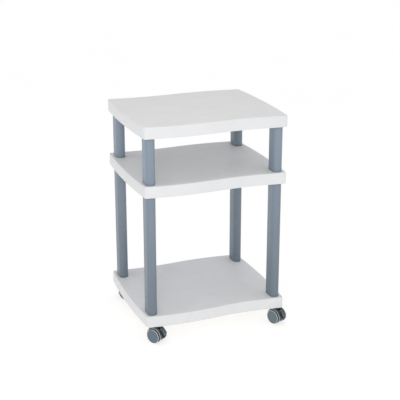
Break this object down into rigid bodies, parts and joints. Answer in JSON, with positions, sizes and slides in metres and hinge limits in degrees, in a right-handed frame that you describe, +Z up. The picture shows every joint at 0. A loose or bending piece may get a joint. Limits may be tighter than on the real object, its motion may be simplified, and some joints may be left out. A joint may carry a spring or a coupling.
{
  "type": "mobile printer stand",
  "caption": "Rolling printer stand: moulded shelves with wavy front and back edges on hollow posts, twin-wheel swivel casters, front ones with foot brakes.",
  "frame": {"origin": "on the floor under the middle of the whole stand's box, with the casters as posed", "axes": "+Z up from the floor; -Y towards the front, the side of the braked casters; +X to the right seen from the front"},
  "size_m": [0.5182, 0.4619, 0.743],
  "materials": {
    "shelf_plastic": "fine textured moulded, warm light grey",
    "post_plastic": "satin moulded, blue-grey",
    "inner_plastic": "plain moulded, black",
    "hood_plastic": "satin moulded, charcoal",
    "brake_plastic": "satin moulded, dark grey",
    "wheel_plastic": "satin moulded, blue-grey",
    "plated_steel": "zinc plated",
    "spring_steel": "spring steel, dull"
  },
  "bodies": {
    "stand": {"top_shelf": "shelf_plastic", "middle_shelf": "shelf_plastic", "bottom_shelf": "shelf_plastic", "upper_post_front_left": "post_plastic", "lower_post_front_left": "post_plastic", "post_sleeve_front_left": "inner_plastic", "caster_socket_front_left": "inner_plastic", "grip_ring_front_left": "spring_steel", "upper_post_front_right": "post_plastic", "lower_post_front_right": "post_plastic", "post_sleeve_front_right": "inner_plastic", "caster_socket_front_right": "inner_plastic", "grip_ring_front_right": "spring_steel", "upper_post_back_left": "post_plastic", "lower_post_back_left": "post_plastic", "post_sleeve_back_left": "inner_plastic", "caster_socket_back_left": "inner_plastic", "grip_ring_back_left": "spring_steel", "upper_post_back_right": "post_plastic", "lower_post_back_right": "post_plastic", "post_sleeve_back_right": "inner_plastic", "caster_socket_back_right": "inner_plastic", "grip_ring_back_right": "spring_steel"},
    "caster_front_left": {"caster_stem_front_left": "plated_steel", "caster_housing_front_left": "hood_plastic", "axle_front_left": "plated_steel", "brake_pin_front_left": "plated_steel"},
    "left_wheel_front_left": {"left_wheel_front_left": "wheel_plastic"},
    "right_wheel_front_left": {"right_wheel_front_left": "wheel_plastic"},
    "brake_front_left": {"brake_lever_front_left": "brake_plastic"},
    "caster_front_right": {"caster_stem_front_right": "plated_steel", "caster_housing_front_right": "hood_plastic", "axle_front_right": "plated_steel", "brake_pin_front_right": "plated_steel"},
    "left_wheel_front_right": {"left_wheel_front_right": "wheel_plastic"},
    "right_wheel_front_right": {"right_wheel_front_right": "wheel_plastic"},
    "brake_front_right": {"brake_lever_front_right": "brake_plastic"},
    "caster_back_left": {"caster_stem_back_left": "plated_steel", "caster_housing_back_left": "hood_plastic", "axle_back_left": "plated_steel"},
    "left_wheel_back_left": {"left_wheel_back_left": "wheel_plastic"},
    "right_wheel_back_left": {"right_wheel_back_left": "wheel_plastic"},
    "caster_back_right": {"caster_stem_back_right": "plated_steel", "caster_housing_back_right": "hood_plastic", "axle_back_right": "plated_steel"},
    "left_wheel_back_right": {"left_wheel_back_right": "wheel_plastic"},
    "right_wheel_back_right": {"right_wheel_back_right": "wheel_plastic"}
  },
  "joints": [
    {"name": "swivel_front_left", "type": "hinge", "parent": "stand", "child": "caster_front_left", "pos_m": [-0.2261, -0.1762, 0.0555], "axis": [0, 0, 1], "continuous": true},
    {"name": "left_wheel_front_left_roll", "type": "hinge", "parent": "caster_front_left", "child": "left_wheel_front_left", "pos_m": [-0.21463, -0.19258, 0.02484], "axis": [0.8192, 0.5736, 0], "continuous": true},
    {"name": "right_wheel_front_left_roll", "type": "hinge", "parent": "caster_front_left", "child": "right_wheel_front_left", "pos_m": [-0.21463, -0.19258, 0.02484], "axis": [0.8192, 0.5736, 0], "continuous": true},
    {"name": "brake_front_left_release", "type": "hinge", "parent": "caster_front_left", "child": "brake_front_left", "pos_m": [-0.20603, -0.20487, 0.04184], "axis": [0.8192, 0.5736, 0], "range_deg": [-16, 0]},
    {"name": "swivel_front_right", "type": "hinge", "parent": "stand", "child": "caster_front_right", "pos_m": [0.2159, -0.1762, 0.0555], "axis": [0, 0, 1], "continuous": true},
    {"name": "left_wheel_front_right_roll", "type": "hinge", "parent": "caster_front_right", "child": "left_wheel_front_right", "pos_m": [0.22404, -0.19447, 0.02484], "axis": [0.9135, 0.4067, 0], "continuous": true},
    {"name": "right_wheel_front_right_roll", "type": "hinge", "parent": "caster_front_right", "child": "right_wheel_front_right", "pos_m": [0.22404, -0.19447, 0.02484], "axis": [0.9135, 0.4067, 0], "continuous": true},
    {"name": "brake_front_right_release", "type": "hinge", "parent": "caster_front_right", "child": "brake_front_right", "pos_m": [0.23014, -0.20817, 0.04184], "axis": [0.9135, 0.4067, 0], "range_deg": [-16, 0]},
    {"name": "swivel_back_left", "type": "hinge", "parent": "stand", "child": "caster_back_left", "pos_m": [-0.2261, 0.1938, 0.0555], "axis": [0, 0, 1], "continuous": true},
    {"name": "left_wheel_back_left_roll", "type": "hinge", "parent": "caster_back_left", "child": "left_wheel_back_left", "pos_m": [-0.20844, 0.18441, 0.02484], "axis": [0.4695, 0.8829, 0], "continuous": true},
    {"name": "right_wheel_back_left_roll", "type": "hinge", "parent": "caster_back_left", "child": "right_wheel_back_left", "pos_m": [-0.20844, 0.18441, 0.02484], "axis": [0.4695, 0.8829, 0], "continuous": true},
    {"name": "swivel_back_right", "type": "hinge", "parent": "stand", "child": "caster_back_right", "pos_m": [0.2159, 0.1938, 0.0555], "axis": [0, 0, 1], "continuous": true},
    {"name": "left_wheel_back_right_roll", "type": "hinge", "parent": "caster_back_right", "child": "left_wheel_back_right", "pos_m": [0.22737, 0.17742, 0.02484], "axis": [0.8192, 0.5736, 0], "continuous": true},
    {"name": "right_wheel_back_right_roll", "type": "hinge", "parent": "caster_back_right", "child": "right_wheel_back_right", "pos_m": [0.22737, 0.17742, 0.02484], "axis": [0.8192, 0.5736, 0], "continuous": true}
  ]
}
